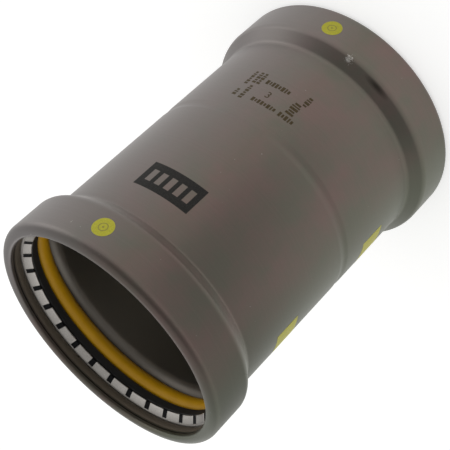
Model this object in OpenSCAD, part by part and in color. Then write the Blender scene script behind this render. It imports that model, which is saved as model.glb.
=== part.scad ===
// Press fit coupling for 3 inch steel pipe: a formed steel sleeve with a beaded socket at each end.
// Each bead holds a slotted grip ring, a separator ring with fingers and a rubber seal.
// Lengths are millimetres. The axis is Z, and the origin is the middle of the sleeve.

/* [Sleeve] */
// Length over both end faces
overall_length = 152; // [140:1:190]
// Diameter of the plain bore that guides the pipe
bore_d = 90.4; // [80:0.2:100]
// Thickness of the tube that the sleeve is formed from
wall = 3; // [2.4:0.1:3.6]

/* [Bead] */
// How far the chamber wall stands out from the bore wall
chamber_rise = 4.7; // [4:0.1:6]
// Angle of the bead's slope to the axis, in degrees
slope_angle = 40; // [30:1:50]
// Outer bend radius where the slope leaves the tube
foot_radius = 3; // [2:0.1:6]
// Outer bend radius where the slope meets the bead's crest
crest_radius = 4.5; // [4:0.1:6]
// How far the rolled lip's opening stands out from the bore wall
mouth_rise = 2.6; // [2:0.1:3]
// Axial thickness of the rolled lip
lip_depth = 3; // [2.5:0.1:4]
// Outer corner radius of the rolled rim
rim_radius = 3.4; // [2:0.1:4]
// Corner radius of the lip's opening
lip_radius = 1.2; // [0.5:0.1:1.5]

/* [Pipe stop] */
// Height of the stop above (+) or below (-) the middle of the sleeve
stop_offset = -8.4; // [-15:0.1:15]
// Width of the rolled stop along the axis
stop_width = 6; // [4:0.5:9]
// How far the stop's ridge stands into the bore
stop_rise = 1.1; // [0.8:0.1:2]
// Depth of the groove that the roll leaves outside
groove_depth = 0.35; // [0.1:0.05:0.6]

/* [Grip ring] */
// Number of slots that part the ring's tongues
slots = 29; // [20:1:36]
// Width of each slot
slot_width = 2.4; // [1.4:0.1:2.8]
// Length of the band that joins the tongues
band_length = 3.2; // [2.8:0.1:5]
// Step from the lip's opening out to the band's inner wall
band_step = 0.2; // [0.1:0.05:0.5]
// Axial length of the tongues' sloping face
tongue_length = 2.6; // [2:0.1:5]
// Width and depth of the relief groove between the band and the tongues
relief = 0.6; // [0.4:0.1:0.8]
// Width of the bevelled strip at the foot of the tongues
strip_width = 0.6; // [0.3:0.1:0.8]
// Width of the edge that bites the pipe
bite_width = 0.3; // [0.2:0.05:0.6]
// Axial length of the tongues behind that edge
heel_length = 0.45; // [0.3:0.05:1]
// Thickness left outside the slots
web = 0.9; // [0.6:0.1:1.1]

/* [Separator ring] */
// Length of the plain ring between the grip ring and the seal
separator_length = 3.7; // [3:0.1:7]
// How far the separator's inner wall stands out from the bite edge
separator_step = 0.55; // [0.3:0.05:1]
// How far each finger's face lies behind the tongues' face
finger_recess = 0.3; // [0.2:0.05:0.6]

/* [Seal] */
// Length of the seal along the axis
seal_length = 7.1; // [5:0.1:8]

/* [Fits] */
// How far the bite edge and the seal stand into the bore
bite_step = 0.15; // [0.1:0.05:0.2]
// Gap between the rings and the chamber wall
ring_gap = 0.2; // [0.1:0.05:0.3]
// Gap between each finger and the sides of its slot
finger_gap = 0.15; // [0.1:0.05:0.25]
// Turn of the grip ring's open slot about the axis, in degrees
ring_turn = 267.7; // [0:0.1:360]

/* [Hidden] */

$fn = 128;
// Steps along each curve of the profiles
ROUND_STEPS = 8;

half = overall_length / 2;
bore_r = bore_d / 2;
tube_r = bore_r + wall;
chamber_r = bore_r + chamber_rise;
bead_r = chamber_r + wall;
mouth_r = bore_r + mouth_rise;
bite_r = bore_r - bite_step;
ring_r = chamber_r - ring_gap;

// The rim's two corners share its end face, and leave a flat to stand on
MIN_FLAT = 0.4;
rim_corner = min(rim_radius, bead_r - mouth_r - lip_radius - MIN_FLAT);
MIN_FILLET = 0.3;
chamber_fillet = max(rim_corner - wall, MIN_FILLET);

// Depths below the end face, in the order that the rings are stacked
band_depth = lip_depth + band_length;
tooth_depth = band_depth + tongue_length;
grip_back = tooth_depth + bite_width + heel_length;
separator_back = grip_back + separator_length;
seal_back = separator_back + seal_length;
crest_end = separator_back + seal_length / 2;
// The slope's straight part lies between its two bends
bend_radii = foot_radius + crest_radius;
straight_rise = chamber_rise - bend_radii * (1 - cos(slope_angle));
shoulder_end = crest_end + bend_radii * sin(slope_angle) + straight_rise / tan(slope_angle);

// The grip ring's section, as radii
band_r = mouth_r + band_step;
face_r = band_r - strip_width;
slot_root_r = ring_r - web;
// Depth that the bevelled strip takes up, and the fine step behind it
strip_depth = strip_width / 2;
strip_step = 0.15;
// The slots start just behind the strip and its step
slot_setback = 0.1;
slot_start = band_depth + strip_depth + strip_step + slot_setback;
corner_bevel = chamber_fillet + ring_gap;
rear_bevel = 1.3;
separator_r = bite_r + separator_step;
ring_chamfer = 0.5;
finger_root_r = slot_root_r - finger_gap;
slot_pitch = 360 / slots;
// Overshoot of every cutting solid
past = 1;

STEEL = "#6e6862";
GRIP_STEEL = "#a9a5a0";
BLACK_PLASTIC = "#17181c";
SEAL_YELLOW = "#a07c14";

// Points of an arc about a centre, from one angle to another
function arc(centre, radius, from, to) =
    [for (i = [0:ROUND_STEPS])
        let (angle = from + (to - from) * i / ROUND_STEPS)
        centre + radius * [cos(angle), sin(angle)]];

// The bead's slope from its foot to the crest, at a depth below the tube's outer face
function shoulder(depth) =
    concat(
        arc(at(tube_r + foot_radius, shoulder_end), foot_radius + depth, 180, 180 - slope_angle),
        arc(at(bead_r - crest_radius, crest_end), crest_radius - depth, -slope_angle, 0));

// A rolled ridge or groove at the stop, from its lower edge to its upper edge
function rolled(wall_r, depth) =
    [for (i = [0:ROUND_STEPS])
        let (t = i / ROUND_STEPS)
        [wall_r - depth * (1 - cos(360 * t)) / 2, stop_offset + stop_width * (t - 1 / 2)]];

// The same points in the opposite order
function reversed(points) = [for (i = [len(points) - 1:-1:0]) points[i]];

// The same run of wall at the lower end, in the order that closes the outline
function lower(points) = [for (point = reversed(points)) [point[0], -point[1]]];

// A point of a ring's section: its radius, and its depth below the end face
function at(radius, depth) = [radius, half - depth];

// Outside of the upper end: slope, crest, rim corner and end face
outer_end = concat(
    shoulder(0),
    arc(at(bead_r - rim_corner, rim_corner), rim_corner, 0, 90),
    arc(at(mouth_r + lip_radius, lip_radius), lip_radius, 90, 180));

// Inside of the upper end: back of the lip, chamber wall and slope to the bore
inner_end = concat(
    [at(mouth_r, lip_depth)],
    arc(at(chamber_r - chamber_fillet, lip_depth + chamber_fillet), chamber_fillet, 90, 0),
    reversed(shoulder(wall)));

// The sleeve: one tube, its ends expanded into beads and rolled inward, with a rolled pipe stop
module coupling_body() {
    color(STEEL)
        rotate_extrude()
            polygon(concat(
                rolled(tube_r, groove_depth),
                outer_end,
                inner_end,
                reversed(rolled(bore_r, stop_rise)),
                lower(inner_end),
                lower(outer_end)));
}

// One cutter or finger blank at each slot from first to last
module at_slots(first = 0, last = slots - 1) {
    for (i = [first:last])
        rotate([0, 0, ring_turn + i * slot_pitch])
            children();
}

// A radial bar as wide as given, between two radii and two depths
module radial_bar(width, inner_r, outer_r, top_depth, low_depth) {
    translate([inner_r, -width / 2, half - low_depth])
        cube([outer_r - inner_r, width, low_depth - top_depth]);
}

// The tongues' face from the band to the back, moved outward by an inset
function tongue_face(inset = 0) = [
    at(band_r + inset, band_depth),
    at(face_r + inset, band_depth + strip_depth),
    at(face_r + inset, band_depth + strip_depth + strip_step),
    at(bite_r + inset, tooth_depth),
    at(bite_r + inset, tooth_depth + bite_width),
    at(bite_r + inset + rear_bevel, grip_back)];

// Hardened spring steel ring: a band with sloping tongues, open at its first slot
module grip_ring() {
    color(GRIP_STEEL)
        difference() {
            rotate_extrude()
                polygon(concat(
                    [at(ring_r, grip_back),
                     at(ring_r, lip_depth + corner_bevel),
                     at(ring_r - corner_bevel, lip_depth),
                     at(band_r, lip_depth),
                     at(band_r, band_depth - relief),
                     at(band_r + relief, band_depth - relief),
                     at(band_r + relief, band_depth)],
                    tongue_face()));
            at_slots(1)
                radial_bar(slot_width, bite_r - past, slot_root_r, slot_start, grip_back + past);
            at_slots(0, 0)
                radial_bar(slot_width, bite_r - past, ring_r + past, lip_depth - past, grip_back + past);
        }
}

// Moulded plastic ring that keeps the grip ring off the seal, with a finger in each slot
module separator_ring() {
    color(BLACK_PLASTIC) {
        rotate_extrude()
            polygon([
                at(ring_r, grip_back),
                at(separator_r + ring_chamfer, grip_back),
                at(separator_r, grip_back + ring_chamfer),
                at(separator_r, separator_back - ring_chamfer),
                at(separator_r + ring_chamfer, separator_back),
                at(ring_r, separator_back)]);
        intersection() {
            rotate_extrude()
                polygon(concat([at(ring_r, grip_back + ring_chamfer), at(ring_r, band_depth)],
                               tongue_face(finger_recess),
                               [at(bite_r + finger_recess + rear_bevel, grip_back + ring_chamfer)]));
            at_slots()
                radial_bar(slot_width - 2 * finger_gap, bite_r, finger_root_r,
                           slot_start + finger_gap, grip_back + past);
        }
    }
}

// Rubber seal: a rounded bead inward, its back shaped to the chamber and its slope
module seal_ring() {
    round_r = seal_length / 2;
    color(SEAL_YELLOW)
        rotate_extrude()
            intersection() {
                union() {
                    translate(at(bite_r + round_r, crest_end))
                        circle(r = round_r);
                    translate(at(bite_r + round_r, seal_back))
                        square([chamber_rise, seal_length]);
                }
                translate([-ring_gap, 0])
                    polygon(concat([at(0, separator_back), at(chamber_r, separator_back)],
                                   reversed(shoulder(wall)),
                                   [at(0, shoulder_end)]));
            }
}

// The same piece at the lower end
module at_bottom() {
    mirror([0, 0, 1])
        children();
}

coupling_body();
grip_ring();  // top_grip_ring
separator_ring();  // top_separator_ring
seal_ring();  // top_seal_ring
at_bottom() grip_ring();  // bottom_grip_ring
at_bottom() separator_ring();  // bottom_separator_ring
at_bottom() seal_ring();  // bottom_seal_ring
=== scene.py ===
from math import cos, pi, radians, sin, tan

import bmesh
import bpy
from mathutils import Matrix, Quaternion, Vector


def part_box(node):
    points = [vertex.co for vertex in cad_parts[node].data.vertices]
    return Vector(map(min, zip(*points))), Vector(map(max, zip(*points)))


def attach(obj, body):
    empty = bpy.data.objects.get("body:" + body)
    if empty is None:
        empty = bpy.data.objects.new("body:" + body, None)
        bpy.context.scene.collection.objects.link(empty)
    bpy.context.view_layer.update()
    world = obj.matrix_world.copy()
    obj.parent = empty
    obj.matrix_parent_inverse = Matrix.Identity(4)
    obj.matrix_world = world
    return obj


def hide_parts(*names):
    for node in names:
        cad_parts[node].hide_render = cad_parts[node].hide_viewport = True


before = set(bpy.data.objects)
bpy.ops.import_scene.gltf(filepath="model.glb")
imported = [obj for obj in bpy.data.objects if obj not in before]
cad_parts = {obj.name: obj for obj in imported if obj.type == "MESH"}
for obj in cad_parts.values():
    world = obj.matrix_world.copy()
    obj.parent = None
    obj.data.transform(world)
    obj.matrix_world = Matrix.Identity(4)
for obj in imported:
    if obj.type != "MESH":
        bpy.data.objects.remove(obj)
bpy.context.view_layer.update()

MM = 0.001
scene = bpy.context.scene
sleeve_low, sleeve_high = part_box("coupling_body")

# Camera: it looks down at the upper mouth from the front, 30 degrees above the level, and is rolled
# so that the mouth comes to the lower left of the picture.
camera_place = Vector((0.0, -0.3908, 0.2254))
camera_aim = Vector((-0.0005, 0.0023, 0.0041))
CAMERA_ROLL = radians(134.08)
CAMERA_LENS = 90.43
SENSOR_WIDTH = 36.0

camera_data = bpy.data.cameras.new("camera")
camera_data.lens = CAMERA_LENS
camera_data.sensor_width = SENSOR_WIDTH
camera_data.clip_end = 20.0
camera = bpy.data.objects.new("camera", camera_data)
scene.collection.objects.link(camera)
camera.location = camera_place
facing = (camera_aim - camera_place).to_track_quat("-Z", "Y")
camera.rotation_mode = "QUATERNION"
camera.rotation_quaternion = facing @ Quaternion((0, 0, 1), -CAMERA_ROLL)
scene.camera = camera
scene.view_settings.view_transform = "Standard"


# Studio: a pale floor under the standing coupling, a white surround, and two soft lamps, one at the right
# and one behind. The surround shows white to the camera and in the metal, and lights the rest at a plain
# level.
def hex_colour(code):
    """An sRGB hex colour as linear red, green, blue and alpha."""
    channels = [int(code[i:i + 2], 16) / 255 for i in (1, 3, 5)]
    linear = [c / 12.92 if c <= 0.04045 else ((c + 0.055) / 1.055) ** 2.4 for c in channels]
    return (*linear, 1.0)


def add(tree, kind, inputs=None, **settings):
    """A shader node with its settings, and its inputs set to values or joined to other sockets."""
    shader_node = tree.nodes.new(kind)
    for name, value in settings.items():
        setattr(shader_node, name, value)
    for name, value in (inputs or {}).items():
        if isinstance(value, bpy.types.NodeSocket):
            tree.links.new(value, shader_node.inputs[name])
        else:
            shader_node.inputs[name].default_value = value
    return shader_node


def new_material(name):
    """A material with an empty node tree, and that tree."""
    material = bpy.data.materials.new(name)
    material.use_nodes = True
    material.node_tree.nodes.clear()
    return material, material.node_tree


def matt_with_glow(tree, shade, strength):
    """A whole matt finish with a white glow of its own, up to the output."""
    matt = add(tree, "ShaderNodeBsdfDiffuse", {"Color": hex_colour(shade)})
    own = add(tree, "ShaderNodeEmission", {"Color": WHITE, "Strength": strength})
    both = add(tree, "ShaderNodeAddShader", {0: matt.outputs[0], 1: own.outputs[0]})
    add(tree, "ShaderNodeOutputMaterial", {"Surface": both.outputs[0]})


WHITE = hex_colour("#ffffff")
SURROUND_LEVEL = 0.75
world = bpy.data.worlds.new("surround")
scene.world = world
world.use_nodes = True
sky = world.node_tree
sky.nodes.clear()
rays = add(sky, "ShaderNodeLightPath")
seen = add(sky, "ShaderNodeMath", {0: rays.outputs["Is Camera Ray"], 1: rays.outputs["Is Glossy Ray"]},
           operation="MAXIMUM")
seen = add(sky, "ShaderNodeMath", {0: seen.outputs[0], 1: rays.outputs["Is Transmission Ray"]},
           operation="MAXIMUM")
level = add(sky, "ShaderNodeMix", {"Factor": seen.outputs[0], "A": SURROUND_LEVEL, "B": 1.0})
glow = add(sky, "ShaderNodeBackground", {"Color": WHITE, "Strength": level.outputs[0]})
add(sky, "ShaderNodeOutputWorld", {"Surface": glow.outputs[0]})


def level_board(name, width, length, place):
    """A level board about a place."""
    board_mesh = bpy.data.meshes.new(name)
    bm = bmesh.new()
    bmesh.ops.create_grid(bm, x_segments=1, y_segments=1, size=0.5)
    bmesh.ops.scale(bm, vec=(width, length, 1), verts=bm.verts)
    bmesh.ops.translate(bm, vec=place, verts=bm.verts)
    bm.to_mesh(board_mesh)
    bm.free()
    board = bpy.data.objects.new(name, board_mesh)
    scene.collection.objects.link(board)
    return board


FLOOR_SIZE = 8.0
floor = level_board("floor", FLOOR_SIZE, FLOOR_SIZE, (0, 0, sleeve_low.z))

# Matt paper: it takes the object's shadow, and a little of its own glow brings it to white.
PAPER_GLOW = 0.57
paper, tree = new_material("matt_paper_floor")
rays = add(tree, "ShaderNodeLightPath")
seen = add(tree, "ShaderNodeMath", {0: rays.outputs["Is Camera Ray"], 1: rays.outputs["Is Glossy Ray"]},
           operation="MAXIMUM")
level = add(tree, "ShaderNodeMath", {0: seen.outputs[0], 1: PAPER_GLOW}, operation="MULTIPLY")
matt_with_glow(tree, "#d2d2d0", level.outputs[0])
floor.data.materials.append(paper)


def softbox(name, place, size, power):
    """A square soft lamp that faces the coupling."""
    lamp_data = bpy.data.lights.new(name, "AREA")
    lamp_data.size = size
    lamp_data.energy = power
    lamp = bpy.data.objects.new(name, lamp_data)
    scene.collection.objects.link(lamp)
    lamp.location = place
    lamp.rotation_euler = (-Vector(place)).to_track_quat("-Z", "Y").to_euler()


softbox("key_softbox", place=(1.0, 0.1, 0.0), size=0.8, power=2.2)
softbox("fill_softbox", place=(-0.5, 1.2, 0.2), size=0.8, power=1.0)


def card(name, width, length, place, shade, glow):
    """A level grey board that shows in the metal alone."""
    board = level_board(name, width, length, place)
    board.visible_camera = False
    board.visible_diffuse = False
    board.visible_shadow = False
    board_paint, tree = new_material(name)
    matt_with_glow(tree, shade, glow)
    board.data.materials.append(board_paint)


# A grey scrim overhead, and dark cloths in front and at the left, keep the slopes and walls from whitening.
cloth_height = sleeve_low.z + 0.002
card("overhead_scrim", 2.4, 1.0, (0, -0.62, 0.5), shade="#707070", glow=0.26)
card("front_cloth", 0.5, 0.43, (-0.19, -0.365, cloth_height), shade="#585858", glow=0.45)
card("side_cloth", 0.4, 0.5, (-0.42, 0.1, cloth_height), shade="#909090", glow=0.4)


# Sleeve: one length of welded steel tube. Both ends are expanded into a bead and rolled inward to a
# lip, and a ring is rolled in off the middle to stop the pipe. It is coated after forming.
BORE_R = 45.2
WALL = 3.0
HALF = sleeve_high.z / MM
TUBE_R = BORE_R + WALL
CHAMBER_RISE = 4.7
CHAMBER_R = BORE_R + CHAMBER_RISE
BEAD_R = CHAMBER_R + WALL
MOUTH_RISE = 2.6
MOUTH_R = BORE_R + MOUTH_RISE
LIP_DEPTH = 3.0
RIM_CORNER = 3.4
LIP_CORNER = 1.2
CHAMBER_FILLET = 0.4
CREST_END = 16.8
SLOPE_ANGLE = 40.0
FOOT_RADIUS = 3.0
CREST_RADIUS = 4.5
STOP_HEIGHT = -8.4
STOP_WIDTH = 6.0
STOP_RISE = 1.1
GROOVE_DEPTH = 0.35
TURNS = 288
ARC_STEPS = 12
MERGE_MM = 0.002
SHARP_ANGLE = 35.0
bend_radii = FOOT_RADIUS + CREST_RADIUS
slope = radians(SLOPE_ANGLE)
straight_rise = CHAMBER_RISE - bend_radii * (1 - cos(slope))
SHOULDER_END = CREST_END + bend_radii * sin(slope) + straight_rise / tan(slope)


def arc(radius, depth, corner, start, end):
    """Points of a round corner about a centre at a radius and a depth, from one angle to another."""
    angles = [radians(start + (end - start) * i / ARC_STEPS) for i in range(ARC_STEPS + 1)]
    return [(radius + corner * cos(a), HALF - depth + corner * sin(a)) for a in angles]


def shoulder(inset):
    """The bead's slope from its foot on the tube to its crest, at a depth below the outer face."""
    foot = arc(TUBE_R + FOOT_RADIUS, SHOULDER_END, FOOT_RADIUS + inset, 180, 180 - SLOPE_ANGLE)
    return foot + arc(BEAD_R - CREST_RADIUS, CREST_END, CREST_RADIUS - inset, -SLOPE_ANGLE, 0)


def rolled(wall_r, depth):
    """The pipe stop's ridge or groove, from its lower edge to its upper edge."""
    run = [i / ARC_STEPS for i in range(ARC_STEPS + 1)]
    return [(wall_r - depth * (1 - cos(2 * pi * t)) / 2, STOP_HEIGHT + STOP_WIDTH * (t - 0.5))
            for t in run]


def lower(points):
    """The same run of wall at the lower end, in the order that closes the outline."""
    return [(r, -z) for r, z in reversed(points)]


def spin_outline(bm, outline, start=0.0, sweep=2 * pi, steps=TURNS):
    """Turns a closed outline of radius and height, in millimetres, about the axis."""
    verts = [bm.verts.new((r * MM * cos(start), r * MM * sin(start), z * MM)) for r, z in outline]
    edges = [bm.edges.new((verts[i - 1], verts[i])) for i in range(len(verts))]
    bmesh.ops.spin(bm, geom=verts + edges, cent=(0, 0, 0), axis=(0, 0, 1), angle=sweep, steps=steps,
                   use_merge=sweep >= 2 * pi, use_duplicate=False)


def finish_piece(bm, name):
    """Closes and smooths the mesh, and makes it an object that rides on the sleeve's body."""
    bmesh.ops.remove_doubles(bm, verts=bm.verts, dist=MERGE_MM * MM)
    bmesh.ops.recalc_face_normals(bm, faces=bm.faces)
    mesh = bpy.data.meshes.new(name)
    bm.to_mesh(mesh)
    bm.free()
    mesh.polygons.foreach_set("use_smooth", [True] * len(mesh.polygons))
    mesh.set_sharp_from_angle(angle=radians(SHARP_ANGLE))
    piece = bpy.data.objects.new(name, mesh)
    scene.collection.objects.link(piece)
    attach(piece, "root")
    return piece


outer_end = (shoulder(0) + arc(BEAD_R - RIM_CORNER, RIM_CORNER, RIM_CORNER, 0, 90)
             + arc(MOUTH_R + LIP_CORNER, LIP_CORNER, LIP_CORNER, 90, 180))
inner_end = ([(MOUTH_R, HALF - LIP_DEPTH)]
             + arc(CHAMBER_R - CHAMBER_FILLET, LIP_DEPTH + CHAMBER_FILLET, CHAMBER_FILLET, 90, 0)
             + shoulder(WALL)[::-1])
sleeve_outline = (rolled(TUBE_R, GROOVE_DEPTH) + outer_end + inner_end
                  + rolled(BORE_R, STOP_RISE)[::-1] + lower(inner_end) + lower(outer_end))
bm = bmesh.new()
spin_outline(bm, sleeve_outline)
sleeve = finish_piece(bm, "coated_sleeve")
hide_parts("coupling_body")

# Carbon steel with a dull zinc nickel coat: a satin metal whose grey drifts to brown in soft blotches where
# it faced the bath, to green at the left and to a plain grey at the right, and pales to the lower end.
# Rolling leaves faint hoops, and handling leaves bare specks and a scuff. Beside the scuff lies a painted
# reflection, a dark streak where the lower slope faces the camera. The slope that faces down has a painted
# highlight, the slope and the rim that face up have painted shade, and the lip's edge has a painted dark
# line of shade.
# The coat's grain is finer than a picture shows, so it is drawn coarser. Lengths are millimetres, and a pair
# gives where a change begins and where it ends.
BLOTCH_MM = 20.0
HOOP_MM = 0.9
GRAIN_MM = 0.35
SPECK_MM = 1.3
SCRATCH_MM = 0.8
SCRATCH_STRETCH = (1.0, 1.0, 3.5)
GREEN_SIDE = (-24.0, -44.0)
GREY_SIDE = (14.0, 46.0)
HOOP_TONES = (0.96, 1.04)
SPECK_CUT = (0.815, 0.855)
SCUFF_PLACE = (11.8, -49.2, -57.2)
SCUFF_MM = 5.5
SCUFF_CUT = (0.31, 0.39)
# Painted highlight on the slope that faces down, and painted shade on the slope and the rim that face up
SLOPE_PAINTED_HIGHLIGHT = 1.4
SLOPE_PAINTED_SHADE = 0.74
DOWNWARD_PAINTED_HIGHLIGHT = ((0.01, 1.0), (0.2, SLOPE_PAINTED_HIGHLIGHT), (0.6, SLOPE_PAINTED_HIGHLIGHT), (0.85, 1.15), (0.99, 1.0))
UPWARD_PAINTED_SHADE = ((0.01, 1.0), (0.2, SLOPE_PAINTED_SHADE), (0.8, SLOPE_PAINTED_SHADE), (0.99, 1.0))
RIM_HEIGHT = 62.0
END_TONES = (1.15, 0.9)
# Painted reflection: the dark streak where the lower slope faces the camera
DARK_REFLECTION_PLACE = (-2.9, -50.7, -55.9)
DARK_REFLECTION_REACH = (7.0, 20.0, 1.3)
DARK_REFLECTION_CORE = 0.2
DARK_REFLECTION_TONE = 0.4
# Painted shade: the dark line at the lip's inner edge
LIP_SHADE_HEIGHT = 73.7
LIP_SHADE_HALF = (0.35, 0.15)
LIP_SHADE_R = 48.1
INNER_WALL_R = (47.7, 47.3)
BORE_WALL_R = (45.6, 45.3)
COAT_ROUGH = (0.4, 0.5)
HOOP_RELIEF = 0.35
RELIEF_MM = 0.02
coat, tree = new_material("zinc_nickel_coated_steel")
place = add(tree, "ShaderNodeTexCoord").outputs["Object"]
axes = add(tree, "ShaderNodeSeparateXYZ", {"Vector": place})
blotch = add(tree, "ShaderNodeTexNoise", {"Vector": place, "Scale": 1 / (BLOTCH_MM * MM), "Detail": 4.0,
                                          "Roughness": 0.65})
drift = add(tree, "ShaderNodeValToRGB", {"Fac": blotch.outputs["Fac"]})
drift.color_ramp.elements[0].position = 0.35
drift.color_ramp.elements[0].color = hex_colour("#67645b")
drift.color_ramp.elements[1].position = 0.66
drift.color_ramp.elements[1].color = hex_colour("#71625d")
green_side = add(tree, "ShaderNodeMapRange", {"Value": axes.outputs["X"], "From Min": GREEN_SIDE[0] * MM,
                                              "From Max": GREEN_SIDE[1] * MM})
greener = add(tree, "ShaderNodeMix", {"Factor": green_side.outputs[0], "A": drift.outputs["Color"],
                                      "B": hex_colour("#65675b")}, data_type="RGBA")
grey_side = add(tree, "ShaderNodeMapRange", {"Value": axes.outputs["X"], "From Min": GREY_SIDE[0] * MM,
                                             "From Max": GREY_SIDE[1] * MM})
greyer = add(tree, "ShaderNodeMix", {"Factor": grey_side.outputs[0], "A": greener.outputs["Result"],
                                     "B": hex_colour("#7a7573")}, data_type="RGBA")
hoop_place = add(tree, "ShaderNodeMath", {0: axes.outputs["Z"], 1: 1 / (HOOP_MM * MM)},
                 operation="MULTIPLY")
hoops = add(tree, "ShaderNodeTexNoise", {"W": hoop_place.outputs[0], "Scale": 1.0, "Detail": 4.0},
            noise_dimensions="1D")
hoop_tone = add(tree, "ShaderNodeMapRange", {"Value": hoops.outputs["Fac"], "To Min": HOOP_TONES[0],
                                             "To Max": HOOP_TONES[1]})
hooped = add(tree, "ShaderNodeMix", {"Factor": 1.0, "A": greyer.outputs["Result"],
                                     "B": hoop_tone.outputs[0]},
             data_type="RGBA", blend_type="MULTIPLY")

specks = add(tree, "ShaderNodeTexNoise", {"Vector": place, "Scale": 1 / (SPECK_MM * MM), "Detail": 1.0})
speck_mask = add(tree, "ShaderNodeMapRange", {"Value": specks.outputs["Fac"], "From Min": SPECK_CUT[0],
                                              "From Max": SPECK_CUT[1]})
scratch_place = add(tree, "ShaderNodeVectorMath", {0: place, 1: SCRATCH_STRETCH}, operation="MULTIPLY")
scratches = add(tree, "ShaderNodeTexNoise", {"Vector": scratch_place.outputs["Vector"],
                                             "Scale": 1 / (SCRATCH_MM * MM), "Detail": 3.0})
scuff_way = add(tree, "ShaderNodeVectorMath", {0: place, 1: Vector(SCUFF_PLACE) * MM},
                operation="DISTANCE")
scuff_near = add(tree, "ShaderNodeMapRange", {"Value": scuff_way.outputs["Value"],
                                              "From Min": SCUFF_MM * MM, "From Max": 0.0})
scuff_grain = add(tree, "ShaderNodeMath", {0: scratches.outputs["Fac"], 1: scuff_near.outputs[0]},
                  operation="MULTIPLY")
scuff_mask = add(tree, "ShaderNodeMapRange", {"Value": scuff_grain.outputs[0], "From Min": SCUFF_CUT[0],
                                              "From Max": SCUFF_CUT[1]})
bare = add(tree, "ShaderNodeMath", {0: speck_mask.outputs[0], 1: scuff_mask.outputs[0]},
           operation="MAXIMUM")
worn = add(tree, "ShaderNodeMix", {"Factor": bare.outputs[0], "A": hooped.outputs["Result"],
                                   "B": hex_colour("#b9b6b0")}, data_type="RGBA")

across = add(tree, "ShaderNodeVectorMath", {0: place, 1: (1, 1, 0)}, operation="MULTIPLY")
radius = add(tree, "ShaderNodeVectorMath", {0: across.outputs["Vector"]}, operation="LENGTH")
on_slope = add(tree, "ShaderNodeMapRange", {"Value": radius.outputs["Value"], "From Min": TUBE_R * MM,
                                            "From Max": BEAD_R * MM})
# Painted light on the beads' slopes: a painted highlight where the slope faces down, and painted shade where
# the slope and the rim face up.
slope_painted_light = []
for levels in (DOWNWARD_PAINTED_HIGHLIGHT, UPWARD_PAINTED_SHADE):
    ramp = add(tree, "ShaderNodeValToRGB", {"Fac": on_slope.outputs[0]})
    for position, tone in levels:
        ramp.color_ramp.elements.new(position).color = (tone, tone, tone, 1.0)
    ramp.color_ramp.elements.remove(ramp.color_ramp.elements[0])
    ramp.color_ramp.elements.remove(ramp.color_ramp.elements[-1])
    slope_painted_light.append(ramp.outputs["Color"])
lower_half = add(tree, "ShaderNodeMath", {0: axes.outputs["Z"], 1: 0.0}, operation="LESS_THAN")
near_rim = add(tree, "ShaderNodeMath", {0: axes.outputs["Z"], 1: RIM_HEIGHT * MM},
               operation="GREATER_THAN")
upward = add(tree, "ShaderNodeMath", {0: lower_half.outputs[0], 1: near_rim.outputs[0]},
             operation="MAXIMUM")
slope_painted_tone = add(tree, "ShaderNodeMix", {"Factor": upward.outputs[0], "A": slope_painted_light[0],
                                         "B": slope_painted_light[1]}, data_type="RGBA")
slope_painted = add(tree, "ShaderNodeMix", {"Factor": 1.0, "A": worn.outputs["Result"],
                                     "B": slope_painted_tone.outputs["Result"]},
             data_type="RGBA", blend_type="MULTIPLY")
# Lighter towards the lower end and darker towards the upper end.
end_tone = add(tree, "ShaderNodeMapRange", {"Value": axes.outputs["Z"], "From Min": -HALF * MM,
                                            "From Max": HALF * MM, "To Min": END_TONES[0],
                                            "To Max": END_TONES[1]})
end_graded = add(tree, "ShaderNodeMix", {"Factor": 1.0, "A": slope_painted.outputs["Result"],
                                    "B": end_tone.outputs[0]},
            data_type="RGBA", blend_type="MULTIPLY")

# Painted reflection: a dark streak on the lower slope where it faces the camera.
dark_reflection_way = add(tree, "ShaderNodeVectorMath", {0: place, 1: Vector(DARK_REFLECTION_PLACE) * MM},
                operation="SUBTRACT")
dark_reflection_share = add(tree, "ShaderNodeVectorMath", {0: dark_reflection_way.outputs["Vector"],
                                                 1: Vector(DARK_REFLECTION_REACH) * MM}, operation="DIVIDE")
dark_reflection_far = add(tree, "ShaderNodeVectorMath", {0: dark_reflection_share.outputs["Vector"]}, operation="LENGTH")
dark_reflection_tone = add(tree, "ShaderNodeMapRange", {"Value": dark_reflection_far.outputs["Value"], "From Min": 1.0,
                                              "From Max": DARK_REFLECTION_CORE, "To Min": 1.0,
                                              "To Max": DARK_REFLECTION_TONE})
dark_reflected = add(tree, "ShaderNodeMix", {"Factor": 1.0, "A": end_graded.outputs["Result"],
                                      "B": dark_reflection_tone.outputs[0]},
              data_type="RGBA", blend_type="MULTIPLY")

# Painted shade: a dark line round the lip's inner edge, for the shade in the gap behind it.
height = add(tree, "ShaderNodeMath", {0: axes.outputs["Z"]}, operation="ABSOLUTE")
lip_above = add(tree, "ShaderNodeMath", {0: height.outputs[0], 1: LIP_SHADE_HEIGHT * MM}, operation="SUBTRACT")
lip_way = add(tree, "ShaderNodeMath", {0: lip_above.outputs[0]}, operation="ABSOLUTE")
lip_shade_band = add(tree, "ShaderNodeMapRange", {"Value": lip_way.outputs[0],
                                            "From Min": LIP_SHADE_HALF[0] * MM,
                                            "From Max": LIP_SHADE_HALF[1] * MM})
lip_wall = add(tree, "ShaderNodeMath", {0: radius.outputs["Value"], 1: LIP_SHADE_R * MM},
               operation="LESS_THAN")
lip_shade_mask = add(tree, "ShaderNodeMath", {0: lip_shade_band.outputs[0], 1: lip_wall.outputs[0]},
               operation="MULTIPLY")
lip_shaded = add(tree, "ShaderNodeMix", {"Factor": lip_shade_mask.outputs[0], "A": dark_reflected.outputs["Result"],
                                     "B": hex_colour("#2c2924")}, data_type="RGBA")
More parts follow.
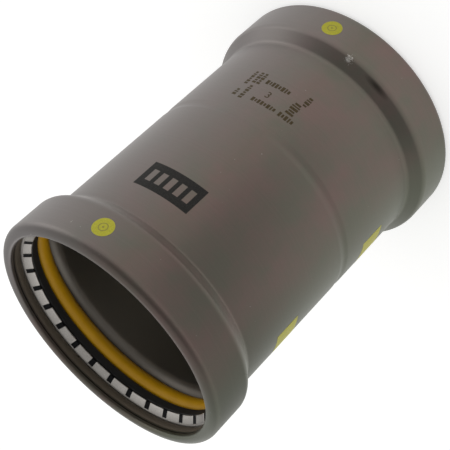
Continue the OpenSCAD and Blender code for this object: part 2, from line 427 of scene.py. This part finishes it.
inside = add(tree, "ShaderNodeMapRange", {"Value": radius.outputs["Value"],
                                          "From Min": INNER_WALL_R[0] * MM,
                                          "From Max": INNER_WALL_R[1] * MM})
bored = add(tree, "ShaderNodeMapRange", {"Value": radius.outputs["Value"],
                                         "From Min": BORE_WALL_R[0] * MM,
                                         "From Max": BORE_WALL_R[1] * MM})
inner_tone = add(tree, "ShaderNodeMix", {"Factor": bored.outputs[0], "A": hex_colour("#76716a"),
                                         "B": hex_colour("#8f8b83")}, data_type="RGBA")
walled = add(tree, "ShaderNodeMix", {"Factor": inside.outputs[0], "A": lip_shaded.outputs["Result"],
                                     "B": inner_tone.outputs["Result"]}, data_type="RGBA")

grain = add(tree, "ShaderNodeTexNoise", {"Vector": place, "Scale": 1 / (GRAIN_MM * MM), "Detail": 2.0})
coat_rough = add(tree, "ShaderNodeMapRange", {"Value": grain.outputs["Fac"], "To Min": COAT_ROUGH[0],
                                              "To Max": COAT_ROUGH[1]})
surface = add(tree, "ShaderNodeMath", {0: hoops.outputs["Fac"], 1: HOOP_RELIEF,
                                       2: grain.outputs["Fac"]}, operation="MULTIPLY_ADD")
bump = add(tree, "ShaderNodeBump", {"Height": surface.outputs[0], "Strength": 0.12,
                                    "Distance": RELIEF_MM * MM})
steel = add(tree, "ShaderNodeBsdfPrincipled", {
    "Base Color": walled.outputs["Result"], "Metallic": 1.0, "Roughness": coat_rough.outputs[0],
    "Normal": bump.outputs[0]})
add(tree, "ShaderNodeOutputMaterial", {"Surface": steel.outputs[0]})
sleeve.data.materials.append(coat)


# Grip rings: a band of hardened stainless strip bent into a ring, its edge cut into sloping tongues.
# It sits behind the rolled lip, open at one slot, and bites the pipe when the bead is pressed.
SLOTS = 29
PITCH = 2 * pi / SLOTS
SLOT_WIDTH = 2.4
RING_TURN = radians(267.7)
RING_GAP = 0.2
RING_R = CHAMBER_R - RING_GAP
BITE_STEP = 0.15
BITE_R = BORE_R - BITE_STEP
BAND_LENGTH = 3.2
BAND_DEPTH = LIP_DEPTH + BAND_LENGTH
BAND_STEP = 0.2
BAND_R = MOUTH_R + BAND_STEP
RELIEF = 0.6
STRIP_WIDTH = 0.6
STRIP_DEPTH = 0.3
STRIP_STEP = 0.15
FACE_R = BAND_R - STRIP_WIDTH
SLOPE_START = BAND_DEPTH + STRIP_DEPTH + STRIP_STEP
TONGUE_LENGTH = 2.6
TOOTH_DEPTH = BAND_DEPTH + TONGUE_LENGTH
BITE_WIDTH = 0.3
HEEL_LENGTH = 0.45
GRIP_BACK = TOOTH_DEPTH + BITE_WIDTH + HEEL_LENGTH
REAR_BEVEL = 1.3
SLOT_SETBACK = 0.1
SLOT_START = SLOPE_START + SLOT_SETBACK
WEB = 0.9
SLOT_ROOT_R = RING_R - WEB
# A slot's sides run along radii, so it has its stated width at this radius
SLOT_MID_R = 46.8
CORNER_BEVEL = 0.6
EDGE_ROUND = 0.06
CRISP_ANGLE = 40.0
TONGUE_STEPS = 8
SLOT_STEPS = 3


def tongue_face(inset=0.0):
    """The tongues' face from the band to the back, moved outward by an inset."""
    return [(BAND_R + inset, BAND_DEPTH), (FACE_R + inset, BAND_DEPTH + STRIP_DEPTH),
            (FACE_R + inset, SLOPE_START), (BITE_R + inset, TOOTH_DEPTH),
            (BITE_R + inset, TOOTH_DEPTH + BITE_WIDTH), (BITE_R + inset + REAR_BEVEL, GRIP_BACK)]


def slope_r(depth, inset=0.0):
    """The radius of the tongues' slope at a depth."""
    share = (depth - SLOPE_START) / (TOOTH_DEPTH - SLOPE_START)
    return FACE_R + inset - share * (FACE_R - BITE_R)


def from_mouth(section):
    """A section's radii and depths below the end face as radii and heights."""
    return [(r, HALF - depth) for r, depth in section]


def cap(bm, section, angle):
    """One face that closes a section at an angle about the axis."""
    bm.faces.new([bm.verts.new((r * MM * cos(angle), r * MM * sin(angle), z * MM))
                  for r, z in from_mouth(section)])


def tongued_ring(name):
    """The grip ring: the whole section at each tongue, the band alone at each slot, and one slot open."""
    bm = bmesh.new()
    tongue_sweep = PITCH - slot_sweep
    for i in range(SLOTS):
        start = RING_TURN + i * PITCH + slot_sweep / 2
        end = start + tongue_sweep
        spin_outline(bm, from_mouth(ring_section), start, tongue_sweep, TONGUE_STEPS)
        cap(bm, ring_section if i == 0 else tongue_section, start)
        cap(bm, ring_section if i == SLOTS - 1 else tongue_section, end)
        if i < SLOTS - 1:
            spin_outline(bm, from_mouth(band_section), end, slot_sweep, SLOT_STEPS)
    bmesh.ops.remove_doubles(bm, verts=bm.verts, dist=MERGE_MM * MM)
    bmesh.ops.recalc_face_normals(bm, faces=bm.faces)
    crisp = [e for e in bm.edges if len(e.link_faces) == 2 and e.calc_face_angle() > radians(CRISP_ANGLE)]
    bmesh.ops.bevel(bm, geom=crisp, offset=EDGE_ROUND * MM, offset_type="OFFSET", affect="EDGES",
                    segments=2, profile=0.5, material=-1, clamp_overlap=True)
    return finish_piece(bm, name)


def below(piece, name):
    """The same piece at the lower end, as a mirror image."""
    bm = bmesh.new()
    bm.from_mesh(piece.data)
    bmesh.ops.scale(bm, vec=(1, 1, -1), verts=bm.verts)
    bmesh.ops.reverse_faces(bm, faces=bm.faces)
    return finish_piece(bm, name)


slot_edge = (slope_r(SLOT_START), SLOT_START)
front_section = ([(RING_R, GRIP_BACK), (RING_R, LIP_DEPTH + CORNER_BEVEL),
                  (RING_R - CORNER_BEVEL, LIP_DEPTH), (BAND_R, LIP_DEPTH), (BAND_R, BAND_DEPTH - RELIEF),
                  (BAND_R + RELIEF, BAND_DEPTH - RELIEF), (BAND_R + RELIEF, BAND_DEPTH)]
                 + tongue_face()[:3] + [slot_edge])
band_section = front_section + [(SLOT_ROOT_R, SLOT_START), (SLOT_ROOT_R, GRIP_BACK)]
tongue_section = [(SLOT_ROOT_R, SLOT_START), slot_edge] + tongue_face()[3:] + [(SLOT_ROOT_R, GRIP_BACK)]
ring_section = front_section + tongue_face()[3:] + [(SLOT_ROOT_R, GRIP_BACK)]
slot_sweep = SLOT_WIDTH / SLOT_MID_R
upper_grip = tongued_ring("upper_grip_ring")
lower_grip = below(upper_grip, "lower_grip_ring")
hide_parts("top_grip_ring")
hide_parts("bottom_grip_ring")

# Stainless spring steel: hardening leaves the band brown and rough, and its darker brown is partly painted
# shade, for the band's dim inward face. The tongues' faces are ground pale with fine brush marks, and are
# brightest at the edge that bites. The marks are drawn coarser, so that they show.
BRUSH_MM = 0.25
BRUSH_ROUGH = (0.3, 0.42)
BAND_ROUGH = 0.7
BAND_BLUR = 0.05
FACE_TONES = (1.25, 0.8)
grip_steel, tree = new_material("stamped_stainless_strip")
place = add(tree, "ShaderNodeTexCoord").outputs["Object"]
brush = add(tree, "ShaderNodeTexNoise", {"Vector": place, "Scale": 1 / (BRUSH_MM * MM), "Detail": 3.0})
brush_tone = add(tree, "ShaderNodeValToRGB", {"Fac": brush.outputs["Fac"]})
brush_tone.color_ramp.elements[0].position = 0.3
brush_tone.color_ramp.elements[0].color = hex_colour("#8d8984")
brush_tone.color_ramp.elements[1].position = 0.7
brush_tone.color_ramp.elements[1].color = hex_colour("#aba7a2")
brush_rough = add(tree, "ShaderNodeMapRange", {"Value": brush.outputs["Fac"], "To Min": BRUSH_ROUGH[0],
                                               "To Max": BRUSH_ROUGH[1]})
axes = add(tree, "ShaderNodeSeparateXYZ", {"Vector": place})
height = add(tree, "ShaderNodeMath", {0: axes.outputs["Z"]}, operation="ABSOLUTE")
on_band = add(tree, "ShaderNodeMapRange", {"Value": height.outputs[0],
                                           "From Min": (HALF - BAND_DEPTH - BAND_BLUR) * MM,
                                           "From Max": (HALF - BAND_DEPTH + BAND_BLUR) * MM})
face_tone = add(tree, "ShaderNodeMapRange", {"Value": height.outputs[0],
                                             "From Min": (HALF - TOOTH_DEPTH) * MM,
                                             "From Max": (HALF - SLOPE_START) * MM,
                                             "To Min": FACE_TONES[0], "To Max": FACE_TONES[1]})
ground = add(tree, "ShaderNodeMix", {"Factor": 1.0, "A": brush_tone.outputs["Color"],
                                     "B": face_tone.outputs[0]},
             data_type="RGBA", blend_type="MULTIPLY")
# Painted shade in part: the band's darker brown stands for its dim inward face as well as a hardening tint.
band_brown_and_shade = add(tree, "ShaderNodeMix", {"Factor": on_band.outputs[0], "A": ground.outputs["Result"],
                                      "B": hex_colour("#756c60")}, data_type="RGBA")
strip_rough = add(tree, "ShaderNodeMix", {"Factor": on_band.outputs[0], "A": brush_rough.outputs[0],
                                          "B": BAND_ROUGH})
strip_steel = add(tree, "ShaderNodeBsdfPrincipled", {
    "Base Color": band_brown_and_shade.outputs["Result"], "Metallic": 1.0, "Roughness": strip_rough.outputs[0]})
add(tree, "ShaderNodeOutputMaterial", {"Surface": strip_steel.outputs[0]})
for ring in (upper_grip, lower_grip):
    ring.data.materials.append(grip_steel)


# Separator rings: moulded in black glass filled nylon. The plain part keeps the grip ring off the seal,
# and a finger stands in each slot, so that the tongues stay evenly spaced.
SEPARATOR_LENGTH = 3.7
SEPARATOR_BACK = GRIP_BACK + SEPARATOR_LENGTH
SEPARATOR_STEP = 0.55
SEPARATOR_R = BITE_R + SEPARATOR_STEP
CHAMFER = 0.5
FINGER_GAP = 0.15
FINGER_RECESS = 0.3
FINGER_STEPS = 2
PLAIN_STEPS = 9
finger_root_r = SLOT_ROOT_R - FINGER_GAP
finger_top = SLOT_START + FINGER_GAP
finger_face = tongue_face(FINGER_RECESS)[3:]
finger_section = [(finger_root_r, GRIP_BACK), (finger_root_r, finger_top),
                  (slope_r(finger_top, FINGER_RECESS), finger_top)] + finger_face
plain_front = [(RING_R, SEPARATOR_BACK), (RING_R, GRIP_BACK)]
plain_back = [(SEPARATOR_R + CHAMFER, GRIP_BACK), (SEPARATOR_R, GRIP_BACK + CHAMFER),
              (SEPARATOR_R, SEPARATOR_BACK - CHAMFER), (SEPARATOR_R + CHAMFER, SEPARATOR_BACK)]
plain_section = plain_front + [finger_section[0], finger_section[-1]] + plain_back
fingered_section = plain_front + finger_section + plain_back
finger_sweep = (SLOT_WIDTH - 2 * FINGER_GAP) / SLOT_MID_R


def fingered_ring(name):
    """The separator ring: the whole section at each finger, and its plain section between them."""
    bm = bmesh.new()
    for i in range(SLOTS):
        start = RING_TURN + i * PITCH - finger_sweep / 2
        end = start + finger_sweep
        spin_outline(bm, from_mouth(fingered_section), start, finger_sweep, FINGER_STEPS)
        spin_outline(bm, from_mouth(plain_section), end, PITCH - finger_sweep, PLAIN_STEPS)
        cap(bm, finger_section, start)
        cap(bm, finger_section, end)
    return finish_piece(bm, name)


upper_separator = fingered_ring("upper_separator_ring")
lower_separator = below(upper_separator, "lower_separator_ring")
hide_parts("top_separator_ring")
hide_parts("bottom_separator_ring")

# Black nylon: near black, with the fine bloom of a spark eroded mould, drawn coarser so that it shows. The
# plain ring keeps a dull sheen, and the fingers' sheen is cut to hardly any, as painted shade for the slots.
BLOOM_MM = 0.4
BLOOM_ROUGH = (0.42, 0.6)
SHEEN_BLUR = 0.3
RING_SHEEN = 0.6
FINGER_SHADED_SHEEN = 0.08
nylon, tree = new_material("moulded_black_nylon")
place = add(tree, "ShaderNodeTexCoord").outputs["Object"]
bloom = add(tree, "ShaderNodeTexNoise", {"Vector": place, "Scale": 1 / (BLOOM_MM * MM), "Detail": 2.0})
bloom_rough = add(tree, "ShaderNodeMapRange", {"Value": bloom.outputs["Fac"], "To Min": BLOOM_ROUGH[0],
                                               "To Max": BLOOM_ROUGH[1]})
bloom_tone = add(tree, "ShaderNodeValToRGB", {"Fac": bloom.outputs["Fac"]})
bloom_tone.color_ramp.elements[0].color = hex_colour("#060607")
bloom_tone.color_ramp.elements[1].color = hex_colour("#0e0e10")
axes = add(tree, "ShaderNodeSeparateXYZ", {"Vector": place})
height = add(tree, "ShaderNodeMath", {0: axes.outputs["Z"]}, operation="ABSOLUTE")
# Painted shade: the fingers' sheen is cut to hardly any, for the shade in the slots.
sheen = add(tree, "ShaderNodeMapRange", {"Value": height.outputs[0],
                                         "From Min": (HALF - GRIP_BACK - SHEEN_BLUR) * MM,
                                         "From Max": (HALF - GRIP_BACK + SHEEN_BLUR) * MM,
                                         "To Min": RING_SHEEN, "To Max": FINGER_SHADED_SHEEN})
nylon_face = add(tree, "ShaderNodeBsdfPrincipled", {
    "Base Color": bloom_tone.outputs["Color"], "Roughness": bloom_rough.outputs[0], "IOR": 1.53,
    "Specular IOR Level": sheen.outputs[0]})
add(tree, "ShaderNodeOutputMaterial", {"Surface": nylon_face.outputs[0]})
for ring in (upper_separator, lower_separator):
    ring.data.materials.append(nylon)


# Seals: moulded rubber rings dyed yellow for gas. Each fills the back of its bead against the slope,
# and its round inner bead closes on the pipe.
SEAL_LENGTH = 7.1
# Where the round inner bead meets the seal's back, as an angle about the bead's centre
SEAL_TIP_ANGLE = 249.5
seal_round = SEAL_LENGTH / 2
seal_bead = arc(BITE_R + seal_round, CREST_END, seal_round, 90, SEAL_TIP_ANGLE)
chamber_run = [(r - RING_GAP, z) for r, z in shoulder(WALL) if z > seal_bead[-1][1]]
seal_outline = seal_bead + chamber_run + [(RING_R, HALF - SEPARATOR_BACK)]
bm = bmesh.new()
spin_outline(bm, seal_outline)
upper_seal = finish_piece(bm, "upper_seal")
lower_seal = below(upper_seal, "lower_seal")
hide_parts("top_seal_ring")
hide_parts("bottom_seal_ring")

# Hydrogenated nitrile rubber: a deep yellow with a soft sheen, from a thin film of assembly grease.
CURE_MM = 6.0
rubber, tree = new_material("yellow_nitrile_rubber")
place = add(tree, "ShaderNodeTexCoord").outputs["Object"]
cure = add(tree, "ShaderNodeTexNoise", {"Vector": place, "Scale": 1 / (CURE_MM * MM), "Detail": 3.0})
cure_tone = add(tree, "ShaderNodeValToRGB", {"Fac": cure.outputs["Fac"]})
cure_tone.color_ramp.elements[0].color = hex_colour("#b98808")
cure_tone.color_ramp.elements[1].color = hex_colour("#cc9a10")
rubber_face = add(tree, "ShaderNodeBsdfPrincipled", {
    "Base Color": cure_tone.outputs["Color"], "Roughness": 0.45, "IOR": 1.5, "Specular IOR Level": 0.3})
add(tree, "ShaderNodeOutputMaterial", {"Surface": rubber_face.outputs[0]})
for ring in (upper_seal, lower_seal):
    ring.data.materials.append(rubber)


# Yellow marks: a spot printed on each bead and two fields printed on the tube's side, in a thin film of
# ink that is cured on the coat. Each spot keeps the ring and the dot that its stamp leaves.
PRINT_FILM = 0.04
STAMP_FILM = 0.05
PRINT_SINK = 0.03
CELL = 1.5
DISC_RINGS = 4
DISC_TURNS = 40
INK_MM = 0.5


def patch(bm, x, y, width, height):
    """A flat rectangle about a point, in cells small enough to follow the wall."""
    cells = bmesh.ops.create_grid(bm, x_segments=max(1, round(width / CELL)),
                                  y_segments=max(1, round(height / (2 * CELL))), size=0.5)["verts"]
    bmesh.ops.scale(bm, vec=(width * MM, height * MM, 1), verts=cells)
    bmesh.ops.translate(bm, vec=(x * MM, y * MM, 0), verts=cells)


def disc(bm, radius, hole):
    """A flat disc or ring about the origin."""
    line = [bm.verts.new(((hole + (radius - hole) * i / DISC_RINGS) * MM, 0, 0))
            for i in range(DISC_RINGS + 1)]
    edges = [bm.edges.new(pair) for pair in zip(line, line[1:])]
    bmesh.ops.spin(bm, geom=line + edges, cent=(0, 0, 0), axis=(0, 0, 1), angle=2 * pi, steps=DISC_TURNS,
                   use_merge=True, use_duplicate=False)
    bmesh.ops.remove_doubles(bm, verts=bm.verts, dist=MERGE_MM * MM)


def lay_print(bm, name, wall_r, angle, height, film=PRINT_FILM):
    """Bends a flat print round a wall, X along the turn and Y along the axis, and gives it a film."""
    for vert in bm.verts:
        turn = angle + vert.co.x / (wall_r * MM)
        radius = (wall_r - PRINT_SINK) * MM
        vert.co = Vector((radius * cos(turn), radius * sin(turn), height * MM + vert.co.y))
    film_parts = bmesh.ops.extrude_face_region(bm, geom=bm.faces[:], use_keep_orig=True)["geom"]
    film_verts = [part for part in film_parts if isinstance(part, bmesh.types.BMVert)]
    grow = (wall_r + film) / (wall_r - PRINT_SINK)
    bmesh.ops.scale(bm, vec=(grow, grow, 1), verts=film_verts)
    return finish_piece(bm, name)


def ink_material(name, dark, light, sheen=0.5):
    """A cured ink film between two tones, with the coat's grain in it."""
    ink, tree = new_material(name)
    place = add(tree, "ShaderNodeTexCoord").outputs["Object"]
    ink_grain = add(tree, "ShaderNodeTexNoise", {"Vector": place, "Scale": 1 / (INK_MM * MM),
                                                 "Detail": 2.0})
    tone = add(tree, "ShaderNodeValToRGB", {"Fac": ink_grain.outputs["Fac"]})
    tone.color_ramp.elements[0].position = 0.3
    tone.color_ramp.elements[0].color = hex_colour(dark)
    tone.color_ramp.elements[1].position = 0.7
    tone.color_ramp.elements[1].color = hex_colour(light)
    face = add(tree, "ShaderNodeBsdfPrincipled", {"Base Color": tone.outputs["Color"], "Roughness": 0.5,
                                                  "Specular IOR Level": sheen})
    add(tree, "ShaderNodeOutputMaterial", {"Surface": face.outputs[0]})
    return ink


# Sizes of the spot, its ring and its dot as radius and hole, and places as angle and height
SPOT = (4.1, 0.0)
SPOT_RING = (1.9, 1.5)
SPOT_DOT = (0.45, 0.0)
SPOT_PLACES = {"upper": (-58.6, 65.1), "lower": (-60.8, -64.7)}
FIELD_WIDTH = 24.7
FIELD_HEIGHT = 12.5
FIELD_PLACES = {"upper": (-170, 27.5), "lower": (-170, -28.5)}
yellow_pieces = []
stamp_pieces = []
for end, (spot_angle, spot_height) in SPOT_PLACES.items():
    for mark, size, film, pieces in (("_bead_spot", SPOT, PRINT_FILM, yellow_pieces),
                                     ("_spot_ring", SPOT_RING, STAMP_FILM, stamp_pieces),
                                     ("_spot_dot", SPOT_DOT, STAMP_FILM, stamp_pieces)):
        bm = bmesh.new()
        disc(bm, *size)
        pieces.append(lay_print(bm, end + mark, BEAD_R, radians(spot_angle), spot_height, film))
for end, (field_angle, field_height) in FIELD_PLACES.items():
    bm = bmesh.new()
    patch(bm, 0, 0, FIELD_WIDTH, FIELD_HEIGHT)
    yellow_pieces.append(lay_print(bm, end + "_side_field", TUBE_R, radians(field_angle), field_height))

# Marking ink: an even greenish yellow, half matt. The stamp's ring and dot are the same ink, but thinner,
# with the coat showing through.
yellow_ink = ink_material("yellow_marking_ink", "#aeaa1e", "#c0ba2c")
thin_ink = ink_material("thin_yellow_ink", "#8a8330", "#989038")
for piece in yellow_pieces:
    piece.data.materials.append(yellow_ink)
for piece in stamp_pieces:
    piece.data.materials.append(thin_ink)


# Dark field: a rectangle screen printed on the tube near the upper bead, with plain blocks left open in
# a row, through which the coat shows.
LABEL_ANGLE = radians(-61.3)
LABEL_HEIGHT = 33.6
BLOCKS = 5
BLOCK_PITCH = 4.3
BLOCK_WIDTH = 2.5
BLOCK_HEIGHT = 6.0
bm = bmesh.new()
side = (FIELD_HEIGHT - BLOCK_HEIGHT) / 2
for y in (-(BLOCK_HEIGHT + side) / 2, (BLOCK_HEIGHT + side) / 2):
    patch(bm, 0, y, FIELD_WIDTH, side)
for i in range(BLOCKS - 1):
    patch(bm, (i - BLOCKS / 2 + 1) * BLOCK_PITCH, 0, BLOCK_PITCH - BLOCK_WIDTH, BLOCK_HEIGHT)
row_end = ((BLOCKS - 1) * BLOCK_PITCH + BLOCK_WIDTH) / 2
margin = FIELD_WIDTH / 2 - row_end
for x in (-(row_end + margin / 2), row_end + margin / 2):
    patch(bm, x, 0, margin, BLOCK_HEIGHT)
label = lay_print(bm, "dark_printed_field", TUBE_R, LABEL_ANGLE, LABEL_HEIGHT)

# Dark marking ink: a brown black that dries nearly matt.
label.data.materials.append(ink_material("dark_marking_ink", "#1f1e1c", "#2e2c2a", sheen=0.15))


# Etched marks: the size number, and rows of short bars for the marks that are left plain. A laser
# browns the coat there, so they stand level with it.
ETCH_FILM = 0.02
ETCH_ANGLE = radians(-61.0)
ETCH_HEIGHT = -23.2
NUMBER_SIZE = 4.8
BAR_WIDTHS = (1.0, 0.7, 1.25, 0.85, 1.1)
BAR_GAP = 0.45
# Every third bar is lower than the rest, by this share
LOW_BAR = 0.72
LOW_EVERY = 3
# Each row's start, end, level and height of bar
ROWS_ALONG_TURN = ((-15.2, -8.2, 4.7, 2.3), (-6.8, 4.4, 4.7, 2.1), (-5.8, 4.0, -6.0, 2.4))
ROWS_ALONG_AXIS = ((-10.0, -5.2, -13.4, 2.2), (-4.2, 1.6, -11.5, 3.6), (-9.8, -3.2, 7.6, 1.6),
                   (-9.8, -3.2, 9.6, 1.6), (-1.4, 6.2, 8.7, 1.8), (-9.6, -1.6, 12.2, 1.5),
                   (2.2, 6.2, 12.2, 1.7))


def bars(start, end, tall):
    """Where each bar of a row lies between start and end: its centre, its width and its height."""
    at, count = start, 0
    while at < end:
        width = BAR_WIDTHS[count % len(BAR_WIDTHS)]
        yield at + width / 2, width, tall * (1.0 if count % LOW_EVERY else LOW_BAR)
        at += width + BAR_GAP
        count += 1


bm = bmesh.new()
for start, end, level, tall in ROWS_ALONG_TURN:
    for centre, width, size in bars(start, end, tall):
        patch(bm, centre, level, width, size)
for start, end, level, tall in ROWS_ALONG_AXIS:
    for centre, width, size in bars(start, end, tall):
        patch(bm, level, centre, size, width)
number_curve = bpy.data.curves.new("size_number", "FONT")
number_curve.body = "3"
number_curve.size = NUMBER_SIZE * MM
number_curve.align_x = "CENTER"
number_curve.align_y = "CENTER"
number = bpy.data.objects.new("size_number", number_curve)
flat_number = number.to_mesh()
flat_number.transform(Matrix.Rotation(pi, 4, "Z"))
bm.from_mesh(flat_number)
number.to_mesh_clear()
bpy.data.objects.remove(number)
etching = lay_print(bm, "etched_marks", TUBE_R, ETCH_ANGLE, ETCH_HEIGHT, ETCH_FILM)

# Laser browned coat: the heat turns the coat a dark brown with hardly any sheen.
etching.data.materials.append(ink_material("laser_browned_coat", "#3a2f1b", "#51442b", sheen=0.2))
